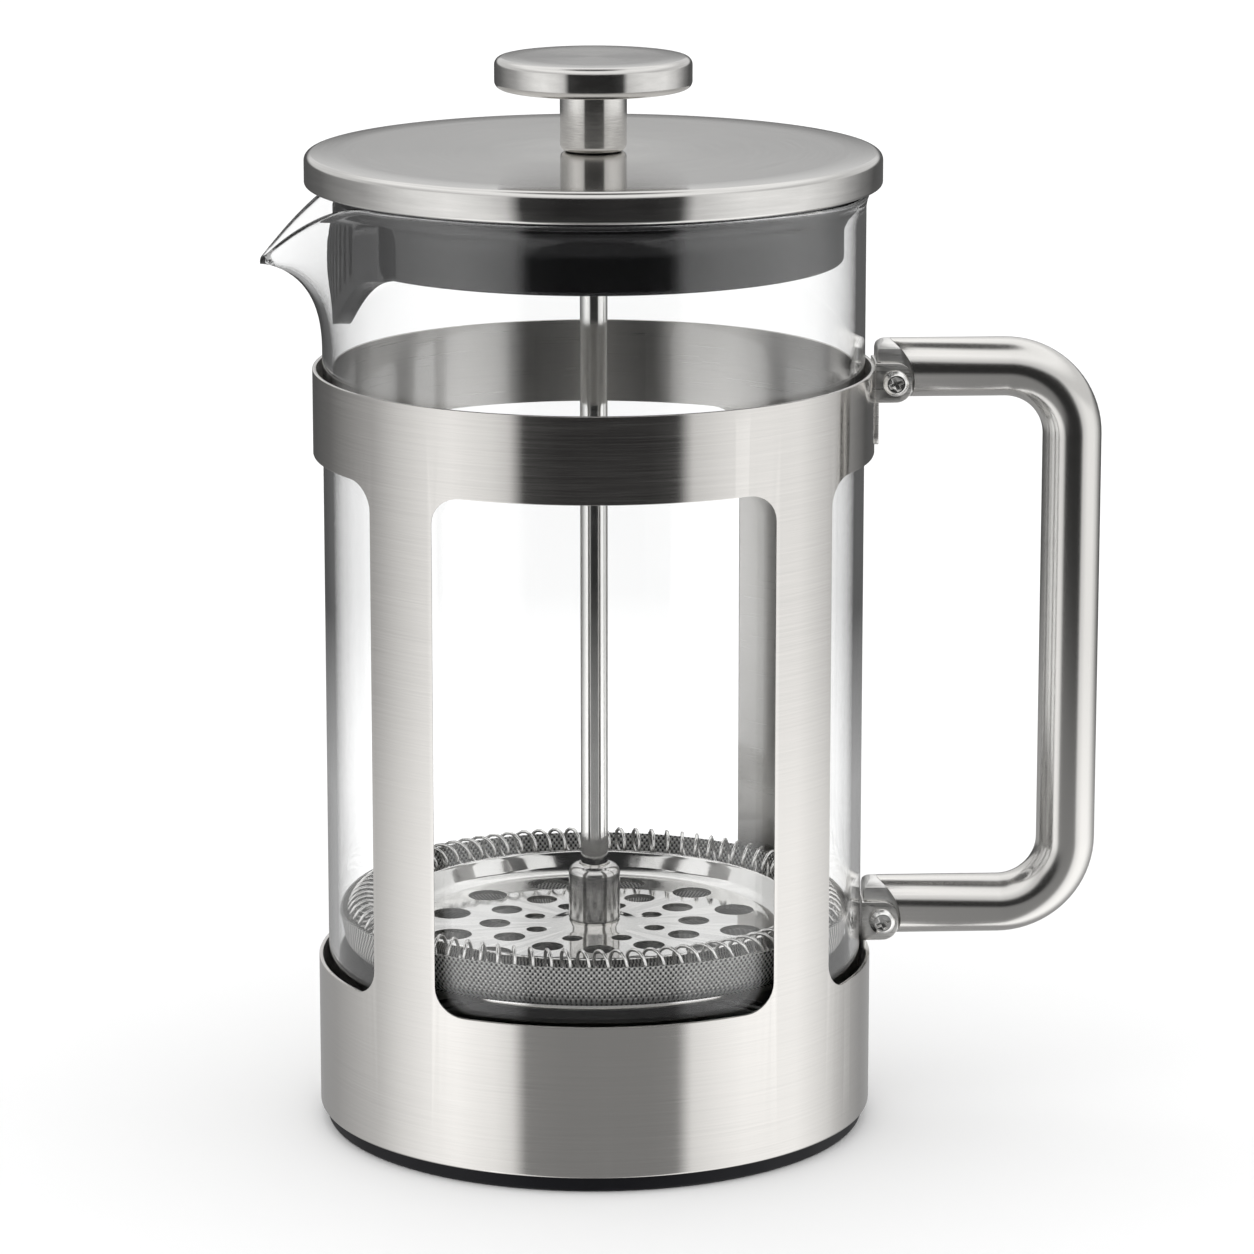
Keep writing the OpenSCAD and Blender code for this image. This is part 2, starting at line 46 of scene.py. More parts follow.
def low(node):
    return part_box(node)[0] / mm


def high(node):
    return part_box(node)[1] / mm


# modelling helpers take millimetres
def clearSelection():
    if bpy.context.object and bpy.context.object.mode != "OBJECT":
        bpy.ops.object.mode_set(mode="OBJECT")
    bpy.ops.object.select_all(action="DESELECT")


def activate(piece):
    clearSelection()
    piece.select_set(True)
    bpy.context.view_layer.objects.active = piece


def named(name):
    piece = bpy.context.object
    piece.name = name
    piece.data.name = name
    return piece


def settle(piece):
    # puts the piece's place into its mesh
    activate(piece)
    bpy.ops.object.transform_apply(location=True, rotation=True, scale=True)
    return piece


def tidyMesh(piece):
    activate(piece)
    bpy.ops.object.mode_set(mode="EDIT")
    bpy.ops.mesh.select_all(action="SELECT")
    bpy.ops.mesh.remove_doubles(threshold=2 * tinyGap)
    bpy.ops.mesh.normals_make_consistent(inside=False)
    bpy.ops.object.mode_set(mode="OBJECT")
    return piece


def smooth(piece, degrees=35, flatFaces=False):
    activate(piece)
    bpy.ops.object.shade_smooth_by_angle(angle=math.radians(degrees))
    if flatFaces:   # large faces keep their own normals beside small bevels
        addModifier(piece, "WEIGHTED_NORMAL", keep_sharp=True, weight=90)
    return piece


def addModifier(piece, kind, **values):
    activate(piece)
    modifier = piece.modifiers.new(kind.title(), kind)
    for key, value in values.items():
        setattr(modifier, key, value)
    bpy.ops.object.modifier_apply(modifier=modifier.name)
    return piece


def bevel(piece, width, segments=2, degrees=35):
    return addModifier(piece, "BEVEL", width=width * mm, segments=segments, limit_method="ANGLE",
                       angle_limit=math.radians(degrees), use_clamp_overlap=True)


def carve(piece, cutter):
    addModifier(piece, "BOOLEAN", object=cutter, operation="DIFFERENCE", solver="EXACT")
    bpy.data.objects.remove(cutter, do_unlink=True)
    return piece


def carveAll(piece, cutters):
    # joins the cutters and cuts them out in one go
    clearSelection()
    for cutter in cutters:
        cutter.select_set(True)
    bpy.context.view_layer.objects.active = cutters[0]
    bpy.ops.object.join()
    return carve(piece, cutters[0])


def arc(cx, cz, radius, startDeg, endDeg, count=6):
    # points of an arc in the profile plane
    points = []
    for i in range(count + 1):
        a = math.radians(startDeg + (endDeg - startDeg) * i / count)
        points.append((cx + radius * math.cos(a), cz + radius * math.sin(a)))
    return points


def chain(name, points, closed=False):
    # one vertex, extruded from point to point
    clearSelection()
    bpy.ops.mesh.primitive_plane_add(size=mm)
    piece = named(name)
    bpy.ops.object.mode_set(mode="EDIT")
    bpy.ops.mesh.select_all(action="SELECT")
    bpy.ops.mesh.merge(type="CENTER")
    here = Vector(points[0]) * mm
    bpy.ops.transform.translate(value=here)
    for point in points[1:]:
        there = Vector(point) * mm
        bpy.ops.mesh.extrude_vertices_move(TRANSFORM_OT_translate={"value": there - here})
        here = there
    if closed:
        bpy.ops.mesh.select_all(action="SELECT")
        bpy.ops.mesh.remove_doubles(threshold=tinyGap)
    bpy.ops.object.mode_set(mode="OBJECT")
    return piece


def lathe(name, profile, steps=128, turn=360, start=0):
    # profile is a list of (radius, height), spun round the beaker's axis
    points = [(r, 0, z) for r, z in profile + profile[:1]]
    piece = chain(name, points, True)
    bpy.ops.object.mode_set(mode="EDIT")
    bpy.ops.mesh.select_all(action="SELECT")
    bpy.ops.mesh.spin(steps=steps, angle=-math.radians(turn), center=(0, 0, 0), axis=(0, 0, 1))
    if turn < 360:
        bpy.ops.mesh.select_all(action="SELECT")
        bpy.ops.mesh.remove_doubles(threshold=tinyGap)
        bpy.ops.mesh.fill_holes(sides=0)
    bpy.ops.object.mode_set(mode="OBJECT")
    if start:
        piece.rotation_euler.z = math.radians(start)
        settle(piece)
    return tidyMesh(piece)


def copyNode(cadName, name, width):
    # a rounded copy of a CAD node
    clearSelection()
    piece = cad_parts[cadName].copy()
    piece.data = piece.data.copy()
    piece.parent = None
    bpy.context.scene.collection.objects.link(piece)
    for key in list(piece.keys()):
        del piece[key]
    activate(piece)
    named(name)
    piece.data.materials.clear()
    bpy.ops.object.mode_set(mode="EDIT")
    bpy.ops.mesh.select_all(action="SELECT")
    bpy.ops.mesh.remove_doubles(threshold=tinyGap)
    bpy.ops.mesh.dissolve_limited(angle_limit=math.radians(0.5))
    bpy.ops.object.mode_set(mode="OBJECT")
    bevel(piece, width)
    return smooth(piece)


def finishPiece(piece, material, body, *nodes):
    piece.data.materials.clear()
    piece.data.materials.append(material)
    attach(piece, body)
    if nodes:
        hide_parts(*nodes)
    return piece


def newMaterial(name, slot):
    material = bpy.data.materials.new(name)
    material.use_nodes = True
    material["slot"] = slot
    return material, material.node_tree, material.node_tree.nodes["Principled BSDF"]


def link(tree, a, b):
    tree.links.new(a, b)


def node(tree, kind, **values):
    made = tree.nodes.new(kind)
    for key, value in values.items():
        setattr(made, key, value)
    return made


def polarCoordinates(tree):
    # angle round the axis, distance from it and height, each in millimetres along the surface
    coords = node(tree, "ShaderNodeTexCoord")
    split = node(tree, "ShaderNodeSeparateXYZ")
    link(tree, coords.outputs["Object"], split.inputs[0])
    angle = node(tree, "ShaderNodeMath", operation="ARCTAN2")
    link(tree, split.outputs["Y"], angle.inputs[0])
    link(tree, split.outputs["X"], angle.inputs[1])
    flat = node(tree, "ShaderNodeCombineXYZ")
    link(tree, split.outputs["X"], flat.inputs["X"])
    link(tree, split.outputs["Y"], flat.inputs["Y"])
    radius = node(tree, "ShaderNodeVectorMath", operation="LENGTH")
    link(tree, flat.outputs[0], radius.inputs[0])
    return angle.outputs[0], radius.outputs["Value"], split.outputs["Z"], coords.outputs["Object"]


def ramp(tree, value, stops):
    made = node(tree, "ShaderNodeValToRGB")
    elements = made.color_ramp.elements
    while len(elements) < len(stops):
        elements.new(0.5)
    for element, (place, tone) in zip(elements, stops):
        element.position = place
        element.color = (tone, tone, tone, 1) if isinstance(tone, (int, float)) else (*tone, 1)
    link(tree, value, made.inputs[0])
    return made.outputs["Color"]


def scaled(tree, value, factor):
    made = node(tree, "ShaderNodeMath", operation="MULTIPLY")
    link(tree, value, made.inputs[0])
    made.inputs[1].default_value = factor
    return made.outputs[0]


def addBump(tree, shader, height, strength, distance):
    bump = node(tree, "ShaderNodeBump")
    bump.inputs["Strength"].default_value = strength
    bump.inputs["Distance"].default_value = distance * mm
    link(tree, height, bump.inputs["Height"])
    link(tree, bump.outputs[0], shader.inputs["Normal"])


def patchyToneAndEdgeHighlight(tree, shader, color, edge, amount=0.12):
    # slight brightening where the piece is convex, a painted highlight on its edges, and soft patches of tone
    geometry = node(tree, "ShaderNodeNewGeometry")
    edgeMask = ramp(tree, geometry.outputs["Pointiness"], [(0.5, 0.0), (0.56, 1.0)])
    coords = node(tree, "ShaderNodeTexCoord")
    patches = node(tree, "ShaderNodeTexNoise")
    patches.inputs["Scale"].default_value = 35
    patches.inputs["Detail"].default_value = 3
    link(tree, coords.outputs["Object"], patches.inputs["Vector"])
    tone = node(tree, "ShaderNodeMix", data_type="RGBA")
    tone.inputs["A"].default_value = (*[c * (1 - amount) for c in color], 1)
    tone.inputs["B"].default_value = (*color, 1)
    link(tree, patches.outputs["Fac"], tone.inputs["Factor"])
    # painted highlight: convex places take the lighter edge colour
    edgeHighlight = node(tree, "ShaderNodeMix", data_type="RGBA")
    edgeHighlight.inputs["B"].default_value = (*edge, 1)
    link(tree, tone.outputs["Result"], edgeHighlight.inputs["A"])
    link(tree, edgeMask, edgeHighlight.inputs["Factor"])
    link(tree, edgeHighlight.outputs["Result"], shader.inputs["Base Color"])


def brushedSteel(name, slot, color, roughness, run, grain=0.35, stretch=0.7, depth=0.2, dullInside=0):
    # run is the way the brush went: "round" the axis, "spun" on a flat top, or along "x", "y" or "z"
    material, tree, shader = newMaterial(name, slot)
    angle, radius, height, point = polarCoordinates(tree)
    combine = node(tree, "ShaderNodeCombineXYZ")
    noise = node(tree, "ShaderNodeTexNoise")
    noise.inputs["Scale"].default_value = 1
    noise.inputs["Detail"].default_value = 4
    noise.inputs["Roughness"].default_value = 0.65
    if run in ("round", "spun"):
        link(tree, scaled(tree, angle, 2.5), combine.inputs["X"])
        link(tree, scaled(tree, radius, 4500 if run == "spun" else 600), combine.inputs["Y"])
        link(tree, scaled(tree, height, 5200 if run == "round" else 600), combine.inputs["Z"])
        link(tree, combine.outputs[0], noise.inputs["Vector"])
    else:
        mapping = node(tree, "ShaderNodeMapping")
        fine, coarse = 4200, 160
        mapping.inputs["Scale"].default_value = [coarse if axis == run else fine for axis in "xyz"]
        link(tree, point, mapping.inputs["Vector"])
        link(tree, mapping.outputs[0], noise.inputs["Vector"])
    rough = ramp(tree, noise.outputs["Fac"], [(0.3, roughness * 0.75), (0.7, roughness * 1.3)])
    link(tree, rough, shader.inputs["Roughness"])
    shader.inputs["Metallic"].default_value = 1
    # convex edges get a painted highlight, a quarter brighter than the steel
    patchyToneAndEdgeHighlight(tree, shader, color, [min(1, c * 1.25) for c in color], 0.06)
    streaks = node(tree, "ShaderNodeMix", data_type="RGBA", blend_type="MULTIPLY")
    streaks.inputs["Factor"].default_value = 1
    link(tree, shader.inputs["Base Color"].links[0].from_socket, streaks.inputs["A"])
    link(tree, ramp(tree, noise.outputs["Fac"], [(0.25, 1 - depth), (0.75, 1.0)]), streaks.inputs["B"])
    link(tree, streaks.outputs["Result"], shader.inputs["Base Color"])
    if dullInside:
        inside = node(tree, "ShaderNodeMath", operation="LESS_THAN")
        link(tree, radius, inside.inputs[0])
        inside.inputs[1].default_value = dullInside * mm
        duller = node(tree, "ShaderNodeMath", operation="MULTIPLY_ADD")
        link(tree, inside.outputs[0], duller.inputs[0])
        duller.inputs[1].default_value = 0.16
        link(tree, rough, duller.inputs[2])
        link(tree, duller.outputs[0], shader.inputs["Roughness"])
    addBump(tree, shader, noise.outputs["Fac"], grain, 0.02)
    if stretch:
        shader.inputs["Anisotropic"].default_value = stretch
        shader.inputs["Anisotropic Rotation"].default_value = 0.25
        tangent = node(tree, "ShaderNodeTangent", direction_type="RADIAL", axis="Z")
        link(tree, tangent.outputs[0], shader.inputs["Tangent"])
    return material


def polishedSteel(name, slot, color, roughness):
    material, tree, shader = newMaterial(name, slot)
    coords = node(tree, "ShaderNodeTexCoord")
    smear = node(tree, "ShaderNodeTexNoise")
    smear.inputs["Scale"].default_value = 260
    smear.inputs["Detail"].default_value = 5
    link(tree, coords.outputs["Object"], smear.inputs["Vector"])
    link(tree, ramp(tree, smear.outputs["Fac"], [(0.35, roughness * 0.6), (0.7, roughness * 1.8)]),
         shader.inputs["Roughness"])
    shader.inputs["Metallic"].default_value = 1
    # convex edges get a painted highlight, slightly brighter than the steel
    patchyToneAndEdgeHighlight(tree, shader, color, [min(1, c * 1.15) for c in color], 0.08)
    addBump(tree, shader, smear.outputs["Fac"], 0.05, 0.05)
    return material


def mouldedPlastic(name, slot, color, roughness, texture, specular=0.5):
    material, tree, shader = newMaterial(name, slot)
    coords = node(tree, "ShaderNodeTexCoord")
    grain = node(tree, "ShaderNodeTexNoise")
    grain.inputs["Scale"].default_value = 2600
    grain.inputs["Detail"].default_value = 3
    link(tree, coords.outputs["Object"], grain.inputs["Vector"])
    cloudy = node(tree, "ShaderNodeTexNoise")
    cloudy.inputs["Scale"].default_value = 90
    link(tree, coords.outputs["Object"], cloudy.inputs["Vector"])
    link(tree, ramp(tree, cloudy.outputs["Fac"], [(0.3, roughness * 0.8), (0.7, roughness * 1.25)]),
         shader.inputs["Roughness"])
    shader.inputs["Specular IOR Level"].default_value = specular
    # convex edges get a painted highlight, about twice the plastic's colour
    patchyToneAndEdgeHighlight(tree, shader, color, [c * 2.2 for c in color], 0.2)
    addBump(tree, shader, grain.outputs["Fac"], texture, 0.03)
    return material


def clearGlass(name, slot):
    material, tree, shader = newMaterial(name, slot)
    coords = node(tree, "ShaderNodeTexCoord")
    ripple = node(tree, "ShaderNodeTexNoise")
    ripple.inputs["Scale"].default_value = 22
    ripple.inputs["Detail"].default_value = 1
    link(tree, coords.outputs["Object"], ripple.inputs["Vector"])
    link(tree, ramp(tree, ripple.outputs["Fac"], [(0.3, 0.0), (0.8, 0.012)]), shader.inputs["Roughness"])
    addBump(tree, shader, ripple.outputs["Fac"], 0.06, 0.4)
    shader.inputs["Base Color"].default_value = (0.997, 0.999, 0.999, 1)
    shader.inputs["Transmission Weight"].default_value = 1
    shader.inputs["IOR"].default_value = 1.47
    shader.inputs["Specular IOR Level"].default_value = 0.2
    return material


def wovenWire(name, slot):
    # wires run round the bowl and up it, over and under one another
    material, tree, shader = newMaterial(name, slot)
    angle, radius, height, point = polarCoordinates(tree)
    pitch = 0.95
    outer = high("mesh_screen")[0]
    across = scaled(tree, angle, round(2 * math.pi * outer / pitch))
    rise = node(tree, "ShaderNodeMath", operation="SUBTRACT")
    link(tree, scaled(tree, height, 2 * math.pi / (pitch * mm) * 0.9), rise.inputs[0])
    link(tree, scaled(tree, radius, 2 * math.pi / (pitch * mm) * 0.5), rise.inputs[1])
    waves = []
    for value in (across, rise.outputs[0]):
        wave = node(tree, "ShaderNodeMath", operation="SINE")
        link(tree, value, wave.inputs[0])
        waves.append(wave.outputs[0])
    both = node(tree, "ShaderNodeMath", operation="MULTIPLY")
    link(tree, waves[0], both.inputs[0])
    link(tree, waves[1], both.inputs[1])
    half = node(tree, "ShaderNodeMath", operation="MULTIPLY_ADD")
    link(tree, both.outputs[0], half.inputs[0])
    half.inputs[1].default_value = 0.5
    half.inputs[2].default_value = 0.5
    tone = ramp(tree, half.outputs[0], [(0.22, (0.03, 0.03, 0.03)), (0.6, (0.92, 0.91, 0.89))])
    # painted shade: the wire colour falls to dark grey where the bowl's own walls are within 6 mm
    shade = node(tree, "ShaderNodeAmbientOcclusion", samples=4, only_local=True)
    shade.inputs["Distance"].default_value = 6 * mm
    dark = node(tree, "ShaderNodeMix", data_type="RGBA")
    dark.inputs["A"].default_value = (0.12, 0.12, 0.12, 1)
    link(tree, tone, dark.inputs["B"])
    link(tree, shade.outputs["AO"], dark.inputs["Factor"])
    link(tree, dark.outputs["Result"], shader.inputs["Base Color"])
    link(tree, ramp(tree, half.outputs[0], [(0.2, 0.6), (0.8, 0.33)]), shader.inputs["Roughness"])
    shader.inputs["Metallic"].default_value = 0.6
    addBump(tree, shader, half.outputs[0], 1.0, 0.3)
    return material


cageInside = high("frame")[0] - 0.4   # inside this radius the sheet is duller
cageSteel = brushedSteel("cageSteel", "brushed_steel", (0.57, 0.556, 0.536), 0.14, "round", 0.06, 0.93, 0.1,
                         cageInside)
spunSteel = brushedSteel("spunSteel", "spun_steel", (0.64, 0.63, 0.612), 0.12, "spun", 0.08, 0.9)
turnedSteel = brushedSteel("turnedSteel", "turned_steel", (0.6, 0.59, 0.57), 0.12, "round", 0.06, 0.85)
handleSteel = brushedSteel("handleSteel", "handle_steel", (0.65, 0.638, 0.618), 0.18, "y", 0.05, 0, 0.06)
bracketSteel = brushedSteel("bracketSteel", "bracket_steel", (0.72, 0.71, 0.69), 0.3, "x", 0.06, 0, 0.06)
tangSteel = brushedSteel("tangSteel", "tang_steel", (0.78, 0.775, 0.76), 0.34, "x", 0.08, 0, 0.06)
brightSteel = polishedSteel("brightSteel", "polished_steel", (0.72, 0.715, 0.7), 0.06)
hubSteel = brushedSteel("hubSteel", "polished_steel", (0.7, 0.69, 0.675), 0.14, "round", 0.05, 0.9)
screwSteel = polishedSteel("screwSteel", "polished_steel", (0.75, 0.745, 0.73), 0.2)
springSteel = polishedSteel("springSteel", "spring_steel", (0.66, 0.655, 0.64), 0.12)
glossBlack = mouldedPlastic("glossBlack", "gloss_black", (0.009, 0.009, 0.01), 0.06, 0.012, 0.55)
satinBlack = mouldedPlastic("satinBlack", "black_plastic", (0.004, 0.004, 0.005), 0.42, 0.15, 0.12)
strainerBlack = mouldedPlastic("strainerBlack", "gloss_black", (0.006, 0.006, 0.007), 0.16, 0.05, 0.9)
padRubber = mouldedPlastic("padRubber", "soft_pad", (0.014, 0.014, 0.015), 0.7, 0.3)
beakerGlass = clearGlass("beakerGlass", "clear_glass")
screenWire = wovenWire("screenWire", "wire_mesh")
print("materials made")


view = {"distance": 1.0073, "height": 0.3203, "turn": -2.5, "aside": 0.344, "tilt": 12.754, "lens": 161.45}
turn = math.radians(view["turn"])
bpy.ops.object.camera_add(
    location=(view["distance"] * math.sin(turn), -view["distance"] * math.cos(turn), view["height"]),
    rotation=(math.radians(90 - view["tilt"]), 0, turn - math.radians(view["aside"])),
)
camera = bpy.context.object
camera.data.lens = view["lens"]
camera.data.sensor_width = 36
camera.data.clip_end = 20
bpy.context.scene.camera = camera
bpy.context.scene.view_settings.view_transform = "Standard"

floorSettings = {"size": 30, "nearRadius": 0.45, "nearGlow": 0.28}
bpy.ops.mesh.primitive_plane_add(size=floorSettings["size"])
floor = named("studioFloor")
floorPaint = bpy.data.materials.new("floorPaint")
floorPaint.use_nodes = True
tree = floorPaint.node_tree
tree.nodes["Principled BSDF"].inputs["Base Color"].default_value = (0.92, 0.92, 0.92, 1)
tree.nodes["Principled BSDF"].inputs["Roughness"].default_value = 1
tree.nodes["Principled BSDF"].inputs["Specular IOR Level"].default_value = 0
rays = node(tree, "ShaderNodeLightPath")
glow = node(tree, "ShaderNodeEmission")
clear = node(tree, "ShaderNodeBsdfTransparent")
angle, radius, height, point = polarCoordinates(tree)
near = node(tree, "ShaderNodeMapRange")
link(tree, radius, near.inputs["Value"])
near.inputs["From Min"].default_value = floorSettings["nearRadius"] * 0.6
near.inputs["From Max"].default_value = floorSettings["nearRadius"]
faded = node(tree, "ShaderNodeMath", operation="MULTIPLY_ADD")
link(tree, near.outputs[0], faded.inputs[0])
faded.inputs[1].default_value = -floorSettings["nearGlow"]
faded.inputs[2].default_value = floorSettings["nearGlow"]
link(tree, faded.outputs[0], glow.inputs["Strength"])
mirrored = node(tree, "ShaderNodeAddShader")
link(tree, glow.outputs[0], mirrored.inputs[0])
link(tree, clear.outputs[0], mirrored.inputs[1])
floorMix = node(tree, "ShaderNodeMixShader")
link(tree, rays.outputs["Is Glossy Ray"], floorMix.inputs["Fac"])
link(tree, tree.nodes["Principled BSDF"].outputs[0], floorMix.inputs[1])
link(tree, mirrored.outputs[0], floorMix.inputs[2])
link(tree, floorMix.outputs[0], tree.nodes["Material Output"].inputs["Surface"])
floor.data.materials.append(floorPaint)

# studio round the object: a dark gap on the camera's side, soft boxes left and right, a pale backdrop
studio = bpy.data.worlds.new("studio")
bpy.context.scene.world = studio
studio.use_nodes = True
tree = studio.node_tree
background = tree.nodes["Background"]
coords = node(tree, "ShaderNodeTexCoord")
split = node(tree, "ShaderNodeSeparateXYZ")
link(tree, coords.outputs["Generated"], split.inputs[0])
flip = scaled(tree, split.outputs["Y"], -1)
bearing = node(tree, "ShaderNodeMath", operation="ARCTAN2")   # 0 towards the camera, positive to the right
link(tree, split.outputs["X"], bearing.inputs[0])
link(tree, flip, bearing.inputs[1])
place = node(tree, "ShaderNodeMapRange")
link(tree, bearing.outputs[0], place.inputs["Value"])
place.inputs["From Min"].default_value = -math.pi
place.inputs["From Max"].default_value = math.pi
aroundStops = [
    (-180, 0.09), (-162, 0.1), (-140, 0.17), (-126, 0.3), (-105, 0.5), (-90, 0.85), (-74, 1.15), (-62, 1.25),
    (-45, 1.05), (-37, 0.85), (-31, 0.055), (-15, 0.028), (20, 0.028), (32, 0.055), (38, 0.85), (50, 1.05),
    (62, 1.2), (90, 1.2), (108, 0.85), (118, 0.55), (130, 0.28), (145, 0.11), (180, 0.12),
]   # bearing from the front in degrees, brightness
around = ramp(tree, place.outputs[0], [((a + 180) / 360, tone) for a, tone in aroundStops])
overheadStops = [(0.0, 0.8), (0.45, 0.85), (0.7, 1.3), (0.93, 1.2), (0.985, 0.1)]
backdrop = {"slant": 0.7, "straight": 0.92, "dim": 0.2, "bright": 1.1, "seen": 1.28, "lean": 0.2}
lift = node(tree, "ShaderNodeMapRange", interpolation_type="SMOOTHSTEP")
nearSide = node(tree, "ShaderNodeMath", operation="MINIMUM")
link(tree, split.outputs["Y"], nearSide.inputs[0])
nearSide.inputs[1].default_value = 0
leaning = node(tree, "ShaderNodeMath", operation="MULTIPLY_ADD")
link(tree, nearSide.outputs[0], leaning.inputs[0])
leaning.inputs[1].default_value = backdrop["lean"]
link(tree, split.outputs["Z"], leaning.inputs[2])
link(tree, leaning.outputs[0], lift.inputs["Value"])
lift.inputs["From Min"].default_value = 0.06
lift.inputs["From Max"].default_value = 0.2
overhead = ramp(tree, split.outputs["Z"], overheadStops)
upper = node(tree, "ShaderNodeMix", data_type="RGBA")
link(tree, lift.outputs[0], upper.inputs["Factor"])
link(tree, around, upper.inputs["A"])
link(tree, overhead, upper.inputs["B"])
rays = node(tree, "ShaderNodeLightPath")
# through the glass the backdrop is white straight ahead and dim at a slant, which draws the glass's edges
behind = node(tree, "ShaderNodeMapRange", interpolation_type="SMOOTHSTEP")
square = node(tree, "ShaderNodeMath", operation="MAXIMUM")
for side, axis in enumerate("XY"):
    size = node(tree, "ShaderNodeMath", operation="ABSOLUTE")
    link(tree, split.outputs[axis], size.inputs[0])
    link(tree, size.outputs[0], square.inputs[side])
link(tree, square.outputs[0], behind.inputs["Value"])
behind.inputs["From Min"].default_value = backdrop["slant"]
behind.inputs["From Max"].default_value = backdrop["straight"]
behind.inputs["To Min"].default_value = backdrop["dim"]
behind.inputs["To Max"].default_value = backdrop["bright"]
glassSky = node(tree, "ShaderNodeMix", data_type="RGBA")
unreflected = node(tree, "ShaderNodeMath", operation="LESS_THAN")
link(tree, rays.outputs["Glossy Depth"], unreflected.inputs[0])
unreflected.inputs[1].default_value = 0.5
straight = node(tree, "ShaderNodeMath", operation="MULTIPLY")
link(tree, unreflected.outputs[0], straight.inputs[0])
link(tree, rays.outputs["Is Transmission Ray"], straight.inputs[1])
link(tree, straight.outputs[0], glassSky.inputs["Factor"])
link(tree, upper.outputs["Result"], glassSky.inputs["A"])
link(tree, behind.outputs[0], glassSky.inputs["B"])
plain = node(tree, "ShaderNodeMath", operation="ADD", use_clamp=True)
link(tree, rays.outputs["Is Camera Ray"], plain.inputs[0])
link(tree, rays.outputs["Is Diffuse Ray"], plain.inputs[1])
sky = node(tree, "ShaderNodeMix", data_type="RGBA")
sky.inputs["B"].default_value = (*[backdrop["seen"]] * 3, 1)
link(tree, plain.outputs[0], sky.inputs["Factor"])
link(tree, glassSky.outputs["Result"], sky.inputs["A"])
link(tree, sky.outputs["Result"], background.inputs["Color"])
print("camera, floor and studio made")


# black foot under the steel, with a groove round its underside
foot = {
    "radius": high("foot")[0], "steel": low("frame")[2], "top": high("foot")[2], "edge": 0.8,
    "seatRadius": 43.9, "groove": 0.35,
}


def buildFoot(settings):
    radius, steel, top = settings["radius"], settings["steel"], settings["top"]
    edge, seat, groove = settings["edge"], settings["seatRadius"], settings["groove"]
    profile = [(0, 0.0), (radius - 6, 0.0), (radius - 5.6, groove), (radius - 3.4, groove), (radius - 3, 0.0)]
    profile += arc(radius - edge, edge, edge, -90, 0, 5)
    profile += [(radius, steel), (seat, steel), (seat, top), (0, top)]
    return smooth(lathe("footMoulding", profile))


finishPiece(buildFoot(foot), satinBlack, "cage", "foot")
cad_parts["seat_pad"].data.materials.clear()
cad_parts["seat_pad"].data.materials.append(padRubber)
print("foot made")


cage = {
    "radius": high("frame")[0], "sheet": 0.7, "bottom": low("frame")[2], "top": high("frame")[2],
    "windowLow": 31.0, "windowHigh": 125.4, "windowWidth": 60.6, "cornerRadius": 5.0,
    "flange": 6.4, "edge": 0.16,
}


def windowCutter(name, settings, degrees):
    tall = settings["windowHigh"] - settings["windowLow"]
    clearSelection()
    bpy.ops.mesh.primitive_cube_add(size=1, location=(0, 0, (settings["windowLow"] + tall / 2) * mm))
    cutter = named(name)
    cutter.scale = (settings["windowWidth"] * mm, 2.4 * settings["radius"] * mm, tall * mm)
    settle(cutter)
    markLongEdges(cutter)
    addModifier(cutter, "BEVEL", width=settings["cornerRadius"] * mm, segments=8, limit_method="WEIGHT")
    cutter.rotation_euler.z = math.radians(degrees)
    return settle(cutter)


def markLongEdges(cutter):
    # the four edges along Y get the window's corner radius
    layer = cutter.data.attributes.new("bevel_weight_edge", "FLOAT", "EDGE")
    for edge in cutter.data.edges:
        a, b = [cutter.data.vertices[v].co for v in edge.vertices]
        layer.data[edge.index].value = 1.0 if abs(a.y - b.y) > 10 * mm else 0.0


def buildCage(settings):
    outer, sheet = settings["radius"], settings["sheet"]
    bottom, top = settings["bottom"], settings["top"]
    inner = outer - sheet
    profile = [(inner, top), (outer, top)] + arc(outer - 0.5, bottom + 0.5, 0.5, 0, -90, 6)
    flangeEnd = inner - settings["flange"]
    profile += [(flangeEnd, bottom), (flangeEnd, bottom + sheet)]
    profile += arc(inner - 0.3, bottom + sheet + 0.3, 0.3, -90, 0, 4)
    steel = lathe("cageSheet", profile, 192)
    for degrees in (0, 90):
        carve(steel, windowCutter("window", settings, degrees))
    bevel(steel, settings["edge"], 2, 40)
    return smooth(steel, 35, True)


finishPiece(buildCage(cage), cageSteel, "cage", "frame")
print("cage made")


tubeRadius = 5.4
tube = {
    "radius": tubeRadius, "wall": 1.4, "out": high("handle_tube")[0] - tubeRadius, "bend": 12.6,
    "upper": high("handle_tube")[2] - tubeRadius, "lower": low("handle_tube")[2] + tubeRadius, "start": 48.0,
    "endCut": 9.0, "edge": 0.15,
}


